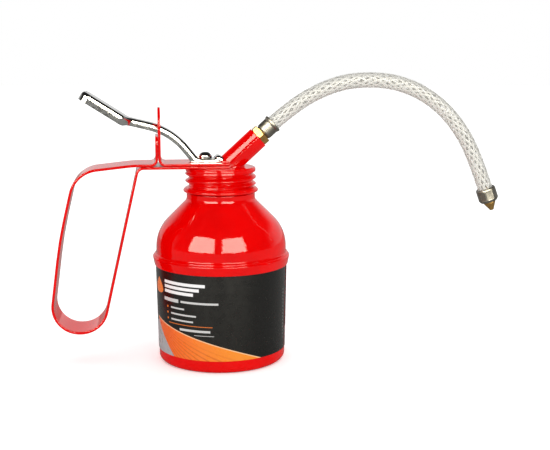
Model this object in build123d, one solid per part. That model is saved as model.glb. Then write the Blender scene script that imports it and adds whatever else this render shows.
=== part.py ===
"""Thumb-lever oil can: steel reservoir, screw-on pump head with strap handle, flexible spout.

Frame: origin at the centre of the flat bottom, +Z up, +X towards the spout, handle towards -X.
All lengths are in millimetres.
"""
from build123d import *
import math
import os

# ---------------------------------------------------------------- driving dimensions
SHEET = 0.7                   # drawn steel of cup, dome and cap
CLEAR = 0.05                  # gap between parts that touch when assembled

CUP_BASE_R = 31.5             # outer radius just above the bottom corner
CUP_RIM_R = 32.5              # outer radius under the dome skirt
CUP_RIM_Z = 53.6              # top edge of the cup, inside the seam
CORNER_R = 3.0
LABEL_LOW_Z = 6.5
LABEL_TOP_Z = 48.2
LABEL_T = 0.2

SKIRT_Z = 48.6                # lower edge of the dome's skirt
SEAM_Z = 52.6                 # widest ring of the seam
SEAM_R = 34.0
SHOULDER_Z = 57.0             # where the dome starts to turn in
SHOULDER_R = 32.3
SHOULDER_ARC = 20.0
NECK_R = 16.9
NECK_TOP_Z = 94.8

PITCH = 3.5                   # rolled thread of neck and cap
THREAD_Z = 84.7               # height of a crest at angle 0
NECK_ROOT_R = 14.6
NECK_CREST_R = 16.3
CAP_ROOT_R = 15.6
CAP_CREST_R = 17.5
CAP_RIM_R = 18.6
CAP_LOW_Z = 84.5
CAP_TOP_Z = 96.6

STRAP_W = 21.0                # strap of handle and bracket
STRAP_T = 1.3
STRAP_END_X = 4.0
HANDLE_TAB_X = -31.2
BRACKET_X = HANDLE_TAB_X + STRAP_T + CLEAR
BRACKET_TOP_Z = 126.0
HANDLE_TAB_Z = 112.5
LOWER_STRAP_Z = CAP_TOP_Z + STRAP_T / 2
UPPER_STRAP_Z = CAP_TOP_Z + STRAP_T * 1.5 + CLEAR

PIVOT_Z = 113.6               # sill of the bracket window, on which the lever rocks
LEVER_T = 1.1
LEVER_W = 9.6
LEVER_DEPTH = 3.7
PAD_W = 17.0
PAD_DEPTH = 4.6
PAD_LENGTH = 24.6
TAB_TOP_Z = 100.55            # flat end of the lever, under the rod head

PUMP_X = -7.5                 # axis of barrel, piston and rod
ROD_R = 1.5
HEAD_R = 3.3
HEAD_Z = 100.7
BARREL_R = 5.2
BARREL_BORE_R = 4.6
BARREL_LOW_Z = 38.0
BARREL_PLUG_Z = 87.5          # underside of the plug that closes the barrel
PISTON_Z = 46.0
SEAT_LAND = 1.0               # length of the small hole under each valve seat

OUTLET_X = 4.5                # axis of the outlet valve, under the spout
OUTLET_Z = 82.5
PORT_Z = 85.6                 # height of the passage from barrel to outlet valve

SPOUT_X = 3.1                 # where the spout axis meets the top of the cap
SPOUT_ANGLE = 42.5
SPOUT_R = 5.5
SPOUT_BORE_R = 4.6
SPOUT_LENGTH = 21.1           # from the cap's top to the open end, along the axis

HEX_ACROSS = 9.4
HEX_T = 3.0
HOSE_R = 3.9
HOSE_BORE_R = 2.2

# Hose centreline in the X-Z plane: straight runs, each corner rounded by an arc
HOSE_ROUTE = [
    (22.2, 114.1),
    (36.3, 127.0),
    (56.5, 136.8),
    (73.0, 139.0),
    (90.5, 137.0),
    (107.5, 128.5),
    (120.8, 114.5),
    (129.8, 97.2),
    (136.3, 79.0),
]
ARC_SHARE = 0.45              # share of the shorter run that each arc takes up

CAP_UNDER_Z = CAP_TOP_Z - SHEET


# ---------------------------------------------------------------- helpers
def turned(points, x=0.0):
    """Solid of revolution about a vertical axis at x, from a closed (radius, height) outline."""
    outline = make_face(Plane.XZ * Polyline(*points, close=True))
    return Pos(x, 0, 0) * revolve(outline, Axis.Z, 360)


def rod(radius, low, high, x=0.0):
    """Vertical round bar from height low to height high."""
    return Pos(x, 0, low) * Cylinder(radius, high - low, align=(Align.CENTER, Align.CENTER, Align.MIN))


def tube(outer, inner, low, high, x=0.0):
    """Vertical round tube."""
    return rod(outer, low, high, x) - rod(inner, low - 1, high + 1, x)


def helix_ridge(outline, start_z, turns):
    """Ridge of a right-hand thread: a (radius, height) outline swept along a helix."""
    radius = outline[0][0]
    path = Helix(pitch=PITCH, height=PITCH * turns, radius=radius, center=(0, 0, start_z))
    upright = Plane(origin=(0, 0, start_z), x_dir=(1, 0, 0), z_dir=(0, -1, 0))
    section = make_face(upright * Polyline(*outline, close=True))
    return sweep(section, path=path, is_frenet=True)


def along_spout(distance):
    """Plane across the spout axis at a distance from the cap's top, its normal along the axis."""
    angle = math.radians(SPOUT_ANGLE)
    direction = (math.cos(angle), 0, math.sin(angle))
    origin = (SPOUT_X + distance * direction[0], 0, CAP_TOP_Z + distance * direction[2])
    return Plane(origin=origin, x_dir=(0, 1, 0), z_dir=direction)


def turned_on(plane, points):
    """Solid of revolution about a plane's normal, from a closed (radius, distance) outline."""
    outline = make_face(Plane.XZ * Polyline(*points, close=True))
    return plane * revolve(outline, Axis.Z, 360)


def coil(mean_r, wire_r, low, high, turns, x):
    """Round-wire compression spring between two heights."""
    height = high - low - 2 * wire_r
    path = Helix(pitch=height / turns, height=height, radius=mean_r, center=(0, 0, low + wire_r))
    section = Plane(origin=path @ 0, z_dir=path % 0) * Circle(wire_r)
    return Pos(x, 0, 0) * sweep(section, path=path, is_frenet=True)


def extruded(outline, width):
    """Solid of the given width about Y=0, from a face drawn in the X-Z plane."""
    return extrude(Plane.XZ * outline, width / 2, both=True)


def ball_height(ball_r, hole_r, seat_z):
    """Centre of a ball just above a 45-degree seat that opens from hole_r at seat_z."""
    apex_z = seat_z - hole_r
    return apex_z + ball_r * math.sqrt(2) + CLEAR


# ---------------------------------------------------------------- reservoir
def reservoir_cup():
    """Deep-drawn cup with an outward bead at its rim, which the dome's skirt is crimped under."""
    taper = (CUP_RIM_R - CUP_BASE_R) / SEAM_Z
    bead = 0.7
    flare_z = SEAM_Z - 2.0
    inner = CUP_BASE_R - SHEET
    bulge = CORNER_R * (1 - math.sqrt(0.5))
    return turned([
        (0, 0),
        (11.0, 0),
        (12.0, 0.6),
        (22.0, 0.6),
        (23.0, 0),
        (CUP_BASE_R - CORNER_R, 0),
        (CUP_BASE_R - bulge, bulge),
        (CUP_BASE_R, CORNER_R),
        (CUP_BASE_R + taper * flare_z, flare_z),
        (CUP_RIM_R + bead, SEAM_Z - 0.6),
        (CUP_RIM_R + bead, CUP_RIM_Z),
        (CUP_RIM_R + bead - SHEET, CUP_RIM_Z),
        (CUP_RIM_R - SHEET, flare_z + 0.6),
        (inner, CORNER_R + 0.2),
        (inner - bulge, SHEET + bulge),
        (inner - CORNER_R, SHEET),
        (23.2, SHEET),
        (22.2, SHEET + 0.6),
        (11.8, SHEET + 0.6),
        (10.8, SHEET),
        (0, SHEET),
    ])


def dome_outline():
    """Closed outline of the dome wall: skirt, seam ring, shoulder, neck and rim."""
    centre = (SHOULDER_R - SHOULDER_ARC, SHOULDER_Z)
    inner_arc = SHOULDER_ARC - SHEET
    half = math.sqrt(0.5)
    outer_turn = (centre[0] + SHOULDER_ARC * half, centre[1] + SHOULDER_ARC * half)
    inner_turn = (centre[0] + inner_arc * half, centre[1] + inner_arc * half)
    neck_foot = outer_turn[1] + (outer_turn[0] - NECK_R)
    inner_neck = NECK_R - SHEET
    inner_foot = inner_turn[1] + (inner_turn[0] - inner_neck)
    outer = Polyline(
        (33.3, SKIRT_Z),
        (SEAM_R - 0.1, SEAM_Z - 0.9),
        (SEAM_R, SEAM_Z),
        (SEAM_R - 0.2, SEAM_Z + 0.8),
        (32.6, 56.0),
        (SHOULDER_R, SHOULDER_Z),
    )
    shoulder = RadiusArc((SHOULDER_R, SHOULDER_Z), outer_turn, -SHOULDER_ARC)
    neck = Polyline(
        outer_turn,
        (NECK_R + 1.2, neck_foot - 1.2),
        (NECK_R + 0.3, neck_foot - 0.1),
        (NECK_R, neck_foot + 1.2),
        (NECK_R, 83.5),
        (NECK_R - 0.6, 84.1),
        (NECK_ROOT_R, 84.1),
        (NECK_ROOT_R, NECK_TOP_Z),
        (NECK_ROOT_R - 0.6, NECK_TOP_Z),
        (NECK_ROOT_R - 0.6, 83.4),
        (inner_neck, 83.4),
        (inner_neck, inner_foot + 1.0),
        (inner_neck + 0.3, inner_foot - 0.1),
        inner_turn,
    )
    inside = RadiusArc(inner_turn, (SHOULDER_R - SHEET, SHOULDER_Z), inner_arc)
    skirt = Polyline(
        (SHOULDER_R - SHEET, SHOULDER_Z),
        (31.9, 55.8),
        (33.35, SEAM_Z + 1.1),
        (33.35, SEAM_Z - 0.7),
        (32.65, SKIRT_Z + 0.1),
        (33.3, SKIRT_Z),
    )
    return make_face([Plane.XZ * part for part in (outer, shoulder, neck, inside, skirt)])


def reservoir_dome():
    """Dome with its neck, the neck's thread and the skirt that clasps the cup."""
    body = revolve(dome_outline(), Axis.Z, 360)
    start_turn = 0.5
    ridge = helix_ridge(
        [(NECK_ROOT_R - 0.2, -1.15), (NECK_CREST_R, -0.35), (NECK_CREST_R, 0.35), (NECK_ROOT_R - 0.2, 1.15)],
        THREAD_Z + start_turn * PITCH,
        1.9,
    )
    return body + Rot(0, 0, start_turn * 360) * ridge


def label():
    """Printed film wrapped round the cup, with a narrow gap where its ends meet."""
    taper = (CUP_RIM_R - CUP_BASE_R) / SEAM_Z
    low_r = CUP_BASE_R + taper * LABEL_LOW_Z + CLEAR
    top_r = CUP_BASE_R + taper * LABEL_TOP_Z + CLEAR
    band = [
        (low_r, LABEL_LOW_Z),
        (low_r + LABEL_T, LABEL_LOW_Z),
        (top_r + LABEL_T, LABEL_TOP_Z),
        (top_r, LABEL_TOP_Z),
    ]
    outline = make_face(Plane.XZ * Polyline(*band, close=True))
    return Rot(0, 0, -14) * revolve(outline, Axis.Z, 356)


# ---------------------------------------------------------------- cap
def screw_cap():
    """Rolled screw cap: flat top, corrugated thread wall and a flared, curled rim."""
    root_in = CAP_ROOT_R - SHEET
    groove_r = NECK_CREST_R + 0.45
    wall = turned([
        (0, CAP_UNDER_Z),
        (root_in, CAP_UNDER_Z),
        (root_in, 86.5),
        (16.9, 86.0),
        (17.5, 85.4),
        (17.3, CAP_LOW_Z),
        (18.1, CAP_LOW_Z),
        (CAP_RIM_R, 84.9),
        (CAP_RIM_R, 85.6),
        (17.7, 86.4),
        (CAP_ROOT_R, 87.2),
        (CAP_ROOT_R, 95.0),
        (CAP_CREST_R - 0.3, 95.0),
        (CAP_CREST_R - 0.2, 95.6),
        (CAP_CREST_R - 0.4, 96.2),
        (CAP_CREST_R - 1.0, CAP_TOP_Z),
        (0, CAP_TOP_Z),
    ])
    ridge = helix_ridge(
        [
            (CAP_ROOT_R - 0.2, -1.7),
            (CAP_CREST_R - 0.5, -1.0),
            (CAP_CREST_R, -0.45),
            (CAP_CREST_R, 0.45),
            (CAP_CREST_R - 0.5, 1.0),
            (CAP_ROOT_R - 0.2, 1.7),
        ],
        THREAD_Z - PITCH,
        5,
    )
    groove = helix_ridge(
        [(root_in - 0.2, -1.5), (groove_r, -0.7), (groove_r, 0.7), (root_in - 0.2, 1.5)],
        THREAD_Z - PITCH,
        5,
    )
    ridge = ridge & tube(CAP_RIM_R, 14.0, 86.7, 95.4)
    groove = groove & tube(CAP_RIM_R, 14.0, CAP_LOW_Z - 0.5, 94.9)
    return wall + ridge - groove - rod(2.0, 95, 98, PUMP_X) - rod(1.5, 95, 98, OUTLET_X)


def cap_gasket():
    """Sealing ring between the neck's rim and the underside of the cap."""
    return tube(14.75, 13.3, NECK_TOP_Z + CLEAR, CAP_UNDER_Z - CLEAR)


# ---------------------------------------------------------------- handle and bracket
def pump_cutouts():
    """Holes in the straps for the piston rod and for the foot of the spout."""
    spout = along_spout(-12) * Cylinder(SPOUT_R + CLEAR, 60, align=(Align.CENTER, Align.CENTER, Align.MIN))
    return rod(2.2, 90, 110, PUMP_X) + spout


def handle_strap():
    """Closed loop handle: short tab on the bracket, grip loop, and return under the bracket."""
    corners = [
        (HANDLE_TAB_X, HANDLE_TAB_Z),
        (HANDLE_TAB_X, UPPER_STRAP_Z),
        (-42.5, UPPER_STRAP_Z),
        (-70.3, 95.6),
        (-78.4, 62.5),
        (-84.9, 16.6),
        (-59.2, 16.6),
        (-40.3, LOWER_STRAP_Z),
        (STRAP_END_X, LOWER_STRAP_Z),
    ]
    bends = [3.0, 60.0, 14.5, 200.0, 13.0, 13.0, 3.4]
    band = trace(FilletPolyline(*corners, radius=bends), line_width=STRAP_T)
    return extruded(band, STRAP_W) - pump_cutouts()


def lever_bracket():
    """Upright bracket: foot on the cap, round-topped plate with the lever's window."""
    path = FilletPolyline(
        (BRACKET_X, BRACKET_TOP_Z),
        (BRACKET_X, UPPER_STRAP_Z),
        (STRAP_END_X, UPPER_STRAP_Z),
        radius=3.0,
    )
    strap = extruded(trace(path, line_width=STRAP_T), STRAP_W)
    corner_r = 8.0
    window_w = LEVER_W + 1.0
    window_top_z = 119.4
    blank = Pos(BRACKET_X, 0, BRACKET_TOP_Z) * Box(4, STRAP_W + 2, 2 * corner_r)
    side = Plane(origin=(BRACKET_X - 2, 0, BRACKET_TOP_Z - STRAP_W), x_dir=(0, 1, 0), z_dir=(1, 0, 0))
    plate = side * extrude(RectangleRounded(STRAP_W, 2 * STRAP_W, corner_r), 4)
    window = Pos(BRACKET_X, 0, (PIVOT_Z + window_top_z) / 2) * Box(4, window_w, window_top_z - PIVOT_Z)
    sill = Pos(BRACKET_X, 0, PIVOT_Z) * Rot(90, 0, 0) * Cylinder(STRAP_T / 2, window_w)
    return strap - (blank - plate) - window + sill - pump_cutouts()


# ---------------------------------------------------------------- lever
def lever_arm():
    """Curved channel from the thumb pad down to the rod, open below."""
    top_line = FilletPolyline(
        (-45.7, 121.54),
        (-23.0, 116.1),
        (-8.3, 97.5),
        radius=34.0,
    )
    web = make_face(offset(top_line, amount=LEVER_T, side=Side.RIGHT))
    side = make_face(offset(top_line, amount=LEVER_DEPTH, side=Side.RIGHT))
    hollow = make_face(offset(top_line, amount=LEVER_DEPTH + 2, side=Side.RIGHT)) - web
    floor = Pos(-20, 0, TAB_TOP_Z - LEVER_T - 20) * Box(80, 40, 40)
    return extruded(side, LEVER_W) - extruded(hollow, LEVER_W - 2 * LEVER_T) - floor


def thumb_pad():
    """Wide pressed pad with a rounded end, its rim turned down."""
    slope = math.radians(32.6)
    start = 1.0
    place = Plane(
        origin=(-44.7, 0, 121.3),
        x_dir=(-math.cos(slope), 0, math.sin(slope)),
        z_dir=(math.sin(slope), 0, math.cos(slope)),
    )
    length = PAD_LENGTH + start
    outline = Pos(length / 2 - start, 0) * RectangleRounded(length, PAD_W, 3.5)
    square = Pos(3 - start, 0) * Rectangle(6, PAD_W)
    cavity = Pos(length / 2 - start - 4, 0) * RectangleRounded(
        length + 8 - 2 * LEVER_T, PAD_W - 2 * LEVER_T, 2.4)
    pad = extrude(outline + square, -PAD_DEPTH)
    return place * (pad - Pos(0, 0, -LEVER_T) * extrude(cavity, -PAD_DEPTH))


def lever():
    """Pressed lever: thumb pad, curved arm and flat keyhole end under the rod head."""
    tab_z = TAB_TOP_Z - LEVER_T / 2
    tab_line = FilletPolyline((-11.6, tab_z), (-3.3, tab_z), (-1.9, tab_z + 2.6), radius=1.0)
    tab = extruded(trace(tab_line, line_width=LEVER_T), LEVER_W)
    keyhole_low_x = -18.5
    keyhole_high_x = -10.6
    slot_end_x = -5.6
    slot_w = 3.6
    keyhole_w = LEVER_W - 2 * LEVER_T
    keyhole = Pos((keyhole_low_x + keyhole_high_x) / 2, 0, 105) * Box(
        keyhole_high_x - keyhole_low_x, keyhole_w, 20)
    slot_middle = slot_end_x - slot_w / 2
    slot = Pos((keyhole_low_x + slot_middle) / 2, 0, TAB_TOP_Z) * Box(slot_middle - keyhole_low_x, slot_w, 6)
    slot_round = rod(slot_w / 2, TAB_TOP_Z - 3, TAB_TOP_Z + 3, slot_middle)
    notch = Pos(BRACKET_X, 0, PIVOT_Z) * Rot(90, 0, 0) * Cylinder(STRAP_T / 2 + 0.15, LEVER_W + 2)
    return lever_arm() + thumb_pad() + tab - keyhole - slot - slot_round - notch


# ---------------------------------------------------------------- pump
def piston_rod():
    """Rod from the piston up to the head above the lever."""
    return rod(ROD_R, PISTON_Z + 7.2, HEAD_Z + 1.8, PUMP_X)


def rod_head():
    """Domed head fixed on the rod's end, which the lever lifts."""
    rim = 1.2
    height = 3.2
    crown = (HEAD_R ** 2 + (height - rim) ** 2) / (2 * (height - rim))
    ball = Pos(PUMP_X, 0, HEAD_Z + height - crown) * Sphere(crown)
    blank = fillet(rod(HEAD_R, HEAD_Z, HEAD_Z + 5, PUMP_X).edges().sort_by(Axis.Z)[0], 0.3)
    head = blank & (ball + rod(HEAD_R, HEAD_Z - 1, HEAD_Z + rim, PUMP_X))
    return head - rod(ROD_R + 0.02, HEAD_Z - 1, HEAD_Z + 1.85, PUMP_X)


def piston_body():
    """Piston with a valve chamber, side ports above the seal and a socket for the rod."""
    z = PISTON_Z
    body = turned([
        (1.2, z),
        (4.3, z),
        (4.3, z + 2.5),
        (3.4, z + 2.5),
        (3.4, z + 5.0),
        (4.3, z + 5.0),
        (4.3, z + 7.0),
        (2.6, z + 7.0),
        (2.6, z + 10.0),
        (ROD_R + 0.02, z + 10.0),
        (ROD_R + 0.02, z + 7.1),
        (0, z + 7.1),
        (0, z + 6.5),
        (2.2, z + 6.5),
        (2.2, z + 2.0),
        (1.2, z + SEAT_LAND),
    ], PUMP_X)
    port = Pos(PUMP_X, 0, z + 6.0) * Rot(90, 0, 0) * Cylinder(0.45, 12)
    return body - port


def piston_seal():
    """Cup seal in the piston's groove."""
    return tube(4.56, 3.42, PISTON_Z + 2.55, PISTON_Z + 4.95, PUMP_X)


def piston_ball():
    """Valve ball of the piston."""
    return Pos(PUMP_X, 0, ball_height(1.5, 1.2, PISTON_Z + SEAT_LAND)) * Sphere(1.5)


def pump_barrel():
    """Barrel hung from the underside of the cap, with the port to the outlet valve."""
    barrel = tube(BARREL_R, BARREL_BORE_R, BARREL_LOW_Z, CAP_UNDER_Z, PUMP_X)
    port = Pos(PUMP_X + BARREL_R, 0, PORT_Z) * Rot(0, 90, 0) * Cylinder(1.72, 4)
    return barrel - port


def barrel_head():
    """Plug that closes the top of the barrel and carries the rod packing."""
    return turned([
        (ROD_R + 0.07, BARREL_PLUG_Z),
        (BARREL_BORE_R - 0.02, BARREL_PLUG_Z),
        (BARREL_BORE_R - 0.02, CAP_UNDER_Z),
        (3.0, CAP_UNDER_Z),
        (3.0, BARREL_PLUG_Z + 4.0),
        (ROD_R + 0.07, BARREL_PLUG_Z + 4.0),
    ], PUMP_X)


def rod_packing():
    """Soft ring that seals the rod."""
    return tube(2.98, ROD_R + 0.02, BARREL_PLUG_Z + 4.05, BARREL_PLUG_Z + 6.2, PUMP_X)


def gland_bush():
    """Bush that holds the packing down."""
    return tube(2.98, ROD_R + 0.06, BARREL_PLUG_Z + 6.25, CAP_UNDER_Z - CLEAR, PUMP_X)


def return_spring():
    """Spring in the barrel that pushes the piston down after each stroke."""
    return coil(3.3, 0.45, PISTON_Z + 7.0 + CLEAR, BARREL_PLUG_Z - CLEAR, 9, PUMP_X)


def foot_valve_body():
    """Plug in the barrel's foot with the inlet seat and the socket for the suction tube."""
    z = BARREL_LOW_Z
    body = turned([
        (1.9, z - 1.2),
        (BARREL_R, z - 1.2),
        (BARREL_R, z - CLEAR),
        (BARREL_BORE_R - 0.02, z - CLEAR),
        (BARREL_BORE_R - 0.02, z + 7.5),
        (2.3, z + 7.5),
        (2.3, z + 3.1),
        (1.2, z + 2.0),
        (1.2, z + 1.0),
        (1.9, z + 1.0),
    ], PUMP_X)
    cross = Pos(PUMP_X, 0, z + 6.6) * Rot(90, 0, 0) * Cylinder(0.42, 12)
    return body - cross


def inlet_ball_pin():
    """Cross pin that keeps the inlet ball in its chamber."""
    return Pos(PUMP_X, 0, BARREL_LOW_Z + 6.6) * Rot(90, 0, 0) * Cylinder(0.4, 2 * (BARREL_BORE_R - 0.1))


def inlet_ball():
    """Valve ball of the barrel's foot."""
    return Pos(PUMP_X, 0, ball_height(1.6, 1.2, BARREL_LOW_Z + 2.0)) * Sphere(1.6)


def suction_tube():
    """Tube from the foot valve down to the bottom, its end cut at a slant."""
    pipe = tube(1.85, 1.25, 3.0, BARREL_LOW_Z + 0.95, PUMP_X)
    slant = Pos(PUMP_X, 0, 3.0) * Rot(0, 35, 0) * Box(12, 12, 3.0)
    return pipe - slant


def outlet_valve_body():
    """Outlet valve housing under the spout, brazed to the cap."""
    z = OUTLET_Z
    seat_z = PORT_Z + 3.4
    body = turned([
        (0, z),
        (4.2, z),
        (4.2, CAP_UNDER_Z),
        (2.4, CAP_UNDER_Z),
        (2.4, seat_z + 1.3),
        (1.1, seat_z),
        (1.1, seat_z - SEAT_LAND),
        (1.9, seat_z - SEAT_LAND),
        (1.9, z + 1.2),
        (0, z + 1.2),
    ], OUTLET_X)
    port = Pos(OUTLET_X - 4.2, 0, PORT_Z) * Rot(0, 90, 0) * Cylinder(1.72, 5)
    return body - port


def outlet_ball():
    """Valve ball under the spout."""
    return Pos(OUTLET_X, 0, ball_height(1.6, 1.1, PORT_Z + 3.4)) * Sphere(1.6)


def outlet_spring():
    """Light spring that closes the outlet ball."""
    return coil(1.75, 0.18, ball_height(1.6, 1.1, PORT_Z + 3.4) + 0.75, CAP_UNDER_Z - CLEAR, 6, OUTLET_X)


def transfer_tube():
    """Short tube from the barrel's port to the outlet valve."""
    length = (OUTLET_X - 4.2) - (PUMP_X + BARREL_R) + 1.2
    middle = ((OUTLET_X - 4.2) + (PUMP_X + BARREL_R)) / 2
    place = Pos(middle, 0, PORT_Z) * Rot(0, 90, 0)
    return place * (Cylinder(1.7, length) - Cylinder(1.1, length + 2))


# ---------------------------------------------------------------- spout and hose
def spout_tube():
    """Slanting spout brazed on the cap, its foot cut flat on the cap's top."""
    base = along_spout(-8)
    cylinder = Cylinder(SPOUT_R, SPOUT_LENGTH + 8, align=(Align.CENTER, Align.CENTER, Align.MIN))
    bore = Cylinder(SPOUT_BORE_R, SPOUT_LENGTH + 12, align=(Align.CENTER, Align.CENTER, Align.MIN))
    below = Pos(SPOUT_X, 0, CAP_TOP_Z - 25) * Box(60, 60, 50)
    return base * cylinder - base * bore - below


def hose_adapter():
    """Brass adapter: plug in the spout's mouth, hexagon and hose barb, bored through."""
    mouth = along_spout(SPOUT_LENGTH)
    hexagon = mouth * extrude(RegularPolygon(HEX_ACROSS / 2, 6, major_radius=False), HEX_T)
    stem = turned_on(mouth, [
        (0, -7.0),
        (SPOUT_BORE_R - 0.4, -7.0),
        (SPOUT_BORE_R - 0.02, -6.4),
        (SPOUT_BORE_R - 0.02, 0.0),
        (3.0, 0.0),
        (3.0, HEX_T),
        (1.9, HEX_T),
        (1.9, HEX_T + 1.6),
        (HOSE_BORE_R - 0.03, HEX_T + 2.8),
        (1.8, HEX_T + 4.6),
        (HOSE_BORE_R - 0.03, HEX_T + 4.9),
        (1.7, HEX_T + 7.0),
        (0, HEX_T + 7.0),
    ])
    return hexagon + stem - turned_on(mouth, [(0, -8), (1.3, -8), (1.3, 12), (0, 12)])


def hose_ferrule():
    """Crimped sleeve round the hose at the adapter."""
    near = HEX_T + CLEAR
    return turned_on(along_spout(SPOUT_LENGTH), [
        (2.4, near),
        (3.6, near),
        (4.2, near + 0.9),
        (4.3, near + 5.6),
        (4.75, near + 6.4),
        (4.75, near + 7.2),
        (4.4, near + 7.2),
        (HOSE_R + 0.02, near + 6.3),
        (HOSE_R + 0.02, near + 1.0),
        (2.4, near + 0.7),
    ])


def hose_path():
    """Hose centreline: straight runs joined by arcs as large as the runs allow."""
    points = [Vector(x, 0, z) for x, z in HOSE_ROUTE]
    runs = [b - a for a, b in zip(points, points[1:])]
    radii = []
    for before, after in zip(runs, runs[1:]):
        half_turn = math.radians(before.get_angle(after)) / 2
        radii.append(ARC_SHARE * min(before.length, after.length) / math.tan(half_turn))
    print("hose arc radii:", [round(radius, 1) for radius in radii])
    return Plane.XZ * FilletPolyline(*HOSE_ROUTE, radius=radii)


def hose():
    """Flexible clear hose."""
    path = hose_path()
    across = Plane(origin=path @ 0, z_dir=path % 0)
    solid = sweep(across * (Circle(HOSE_R) - Circle(HOSE_BORE_R)), path=path)
    section = math.pi * (HOSE_R ** 2 - HOSE_BORE_R ** 2)
    print("hose length:", round(path.length, 2), "volume over section:", round(solid.volume / section, 2))
    return solid


def hose_end():
    """Plane across the hose's far end, its normal pointing out of the hose."""
    end = Vector(HOSE_ROUTE[-1][0], 0, HOSE_ROUTE[-1][1])
    before = Vector(HOSE_ROUTE[-2][0], 0, HOSE_ROUTE[-2][1])
    return Plane(origin=end, x_dir=(0, 1, 0), z_dir=(end - before).normalized())


def end_ferrule():
    """Faceted sleeve crimped round the hose's far end."""
    sleeve = turned_on(hose_end(), [
        (3.2, 2.2),
        (4.2, 2.2),
        (5.0, 0.6),
        (5.0, -4.6),
        (4.6, -5.0),
        (HOSE_R + 0.02, -5.0),
        (HOSE_R + 0.02, 0.05),
        (3.2, 0.4),
    ])
    facets = hose_end() * Pos(0, 0, -3.9) * extrude(RegularPolygon(4.78, 8, major_radius=False), 5.0)
    band = turned_on(hose_end(), [(0, -3.9), (6, -3.9), (6, 1.1), (0, 1.1)])
    return sleeve - (band - facets)


def nozzle_tip():
    """Brass nozzle with a barb in the hose and a conical point, bored through."""
    body = turned_on(hose_end(), [
        (0, -5.5),
        (1.7, -5.5),
        (HOSE_BORE_R - 0.03, -4.4),
        (1.8, -2.6),
        (HOSE_BORE_R - 0.03, -2.2),
        (1.9, 0.2),
        (3.1, 0.45),
        (3.1, 2.6),
        (1.2, 6.4),
        (1.0, 6.9),
        (0, 6.9),
    ])
    return body - turned_on(hose_end(), [(0, -6), (0.9, -6), (0.9, 4.5), (0.5, 5.0), (0.5, 8), (0, 8)])


NODES = {
    "reservoir_cup": reservoir_cup,
    "reservoir_dome": reservoir_dome,
    "label": label,
    "screw_cap": screw_cap,
    "cap_gasket": cap_gasket,
    "handle_strap": handle_strap,
    "lever_bracket": lever_bracket,
    "lever": lever,
    "piston_rod": piston_rod,
    "rod_head": rod_head,
    "piston_body": piston_body,
    "piston_seal": piston_seal,
    "piston_ball": piston_ball,
    "pump_barrel": pump_barrel,
    "barrel_head": barrel_head,
    "rod_packing": rod_packing,
    "gland_bush": gland_bush,
    "return_spring": return_spring,
    "foot_valve_body": foot_valve_body,
    "inlet_ball_pin": inlet_ball_pin,
    "inlet_ball": inlet_ball,
    "suction_tube": suction_tube,
    "outlet_valve_body": outlet_valve_body,
    "outlet_ball": outlet_ball,
    "outlet_spring": outlet_spring,
    "transfer_tube": transfer_tube,
    "spout_tube": spout_tube,
    "hose_adapter": hose_adapter,
    "hose_ferrule": hose_ferrule,
    "hose": hose,
    "end_ferrule": end_ferrule,
    "nozzle_tip": nozzle_tip,
}

os.makedirs("parts", exist_ok=True)
for name, make in NODES.items():
    shape = make()
    export_step(shape, f"parts/{name}.step")
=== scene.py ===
import bmesh
import bpy
import math
from mathutils import Matrix, Vector


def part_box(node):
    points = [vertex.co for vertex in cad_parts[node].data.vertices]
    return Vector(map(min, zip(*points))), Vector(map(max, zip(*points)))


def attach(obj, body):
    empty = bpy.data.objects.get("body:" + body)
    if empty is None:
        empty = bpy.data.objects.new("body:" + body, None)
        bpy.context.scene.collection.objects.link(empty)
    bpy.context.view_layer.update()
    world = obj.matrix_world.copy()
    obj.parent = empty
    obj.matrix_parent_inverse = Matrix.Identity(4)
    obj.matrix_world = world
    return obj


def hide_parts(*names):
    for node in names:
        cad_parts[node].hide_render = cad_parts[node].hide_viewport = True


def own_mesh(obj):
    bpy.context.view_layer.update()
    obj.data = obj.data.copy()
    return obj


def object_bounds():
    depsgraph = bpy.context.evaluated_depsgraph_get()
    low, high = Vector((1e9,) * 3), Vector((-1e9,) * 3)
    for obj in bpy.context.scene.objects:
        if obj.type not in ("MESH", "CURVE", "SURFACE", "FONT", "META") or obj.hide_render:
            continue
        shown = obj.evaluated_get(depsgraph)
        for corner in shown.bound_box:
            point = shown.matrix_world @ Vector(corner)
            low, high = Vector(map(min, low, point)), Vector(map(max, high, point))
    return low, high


# Looks of the thumb-lever oil can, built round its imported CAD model.
# Frame: origin at the centre of the flat bottom, +Z up, +X towards the spout, handle towards -X.
# Outlines are in millimetres, and every mesh is made in metres.

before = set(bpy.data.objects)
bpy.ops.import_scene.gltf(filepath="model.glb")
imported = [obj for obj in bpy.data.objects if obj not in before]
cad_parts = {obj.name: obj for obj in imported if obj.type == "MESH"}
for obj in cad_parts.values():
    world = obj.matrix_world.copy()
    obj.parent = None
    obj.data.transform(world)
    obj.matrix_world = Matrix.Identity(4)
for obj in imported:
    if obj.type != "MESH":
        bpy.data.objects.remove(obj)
cad_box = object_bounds()
MM = 0.001


def span(node):
    """Lowest and highest corner of a CAD node, in millimetres."""
    low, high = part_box(node)
    return low / MM, high / MM


def added(name, data):
    """A new object in the scene."""
    item = bpy.data.objects.new(name, data)
    bpy.context.scene.collection.objects.link(item)
    return item


# ---- driving dimensions
SHEET = 0.7  # drawn steel of cup, dome and cap
CUP_TOP = span("reservoir_cup")[1]
DOME_LOW, DOME_HIGH = span("reservoir_dome")
CAP_LOW, CAP_HIGH = span("screw_cap")
LABEL_LOW, LABEL_HIGH = span("label")
HEAD_LOW, HEAD_HIGH = span("rod_head")
BRACKET_HIGH = span("lever_bracket")[1]
PUMP_X = (HEAD_LOW.x + HEAD_HIGH.x) / 2

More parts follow.
